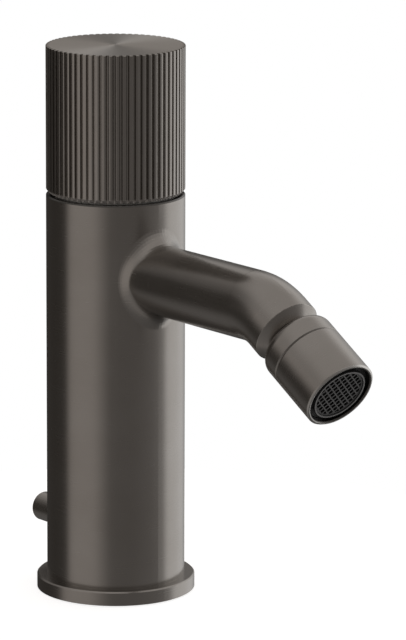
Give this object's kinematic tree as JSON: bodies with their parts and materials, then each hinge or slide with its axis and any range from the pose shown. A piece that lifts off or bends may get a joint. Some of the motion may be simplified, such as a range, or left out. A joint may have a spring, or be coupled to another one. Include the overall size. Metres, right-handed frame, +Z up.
{
  "type": "bidet mixer",
  "caption": "Deck-mounted bidet mixer: round upright body, fluted turning knob on top, side spout with a ball-jointed aerator end and a rear pull pin for the waste.",
  "frame": {"origin": "centre of the base flange's underside, on the deck, over the hole in the deck", "axes": "+Z up along the body's axis, +X towards the spout's end, +Y to the left when looking along +X"},
  "size_m": [0.1551, 0.0506, 0.1755],
  "materials": {
    "gunmetal": "finely brushed dark grey coating on steel",
    "raw_brass": "machined",
    "plain_steel": "bright drawn",
    "seal_rubber": "moulded, matt",
    "white_plastic": "moulded",
    "black_plastic": "moulded, fine satin",
    "disc_ceramic": "lapped"
  },
  "bodies": {
    "base": {"base_flange": "gunmetal", "base_seal": "seal_rubber", "body_shell": "gunmetal", "collector": "raw_brass", "collector_seals": "seal_rubber", "lock_ring": "raw_brass", "glide_ring": "white_plastic", "cartridge_gasket": "seal_rubber", "cartridge_base": "white_plastic", "fixed_disc": "disc_ceramic", "cartridge_body": "white_plastic", "cartridge_nut": "raw_brass", "rod_bush": "white_plastic", "ball_nipple": "gunmetal", "nipple_seal": "seal_rubber"},
    "knob": {"knob_shell": "gunmetal", "knob_hub": "black_plastic", "grub_screw": "plain_steel", "cartridge_stem": "raw_brass", "moving_disc": "disc_ceramic"},
    "lift": {"pull_pin": "gunmetal", "lift_rod": "plain_steel"},
    "liner": {"ball_liner": "white_plastic"},
    "swivel": {"swivel_cap": "gunmetal", "swivel_sleeve": "gunmetal", "ball_seat": "white_plastic", "aerator_washer": "seal_rubber", "aerator_cage": "black_plastic", "jet_disc": "black_plastic", "aerator_screen": "black_plastic"}
  },
  "joints": [
    {"name": "knob_turn", "type": "hinge", "parent": "base", "child": "knob", "pos_m": [0, 0, 0.12], "axis": [0, 0, 1], "range_deg": [0, 100]},
    {"name": "pin_lift", "type": "slide", "parent": "base", "child": "lift", "axis": [0, 0, 1], "range_m": [0, 0.01]},
    {"name": "swivel_side", "type": "hinge", "parent": "base", "child": "liner", "pos_m": [0.09273, 0, 0.09385], "axis": [0.5075, 0, 0.8616], "range_deg": [-6, 6]},
    {"name": "swivel_tilt", "type": "hinge", "parent": "liner", "child": "swivel", "pos_m": [0.09273, 0, 0.09385], "axis": [0, 1, 0], "range_deg": [-6, 6]}
  ]
}
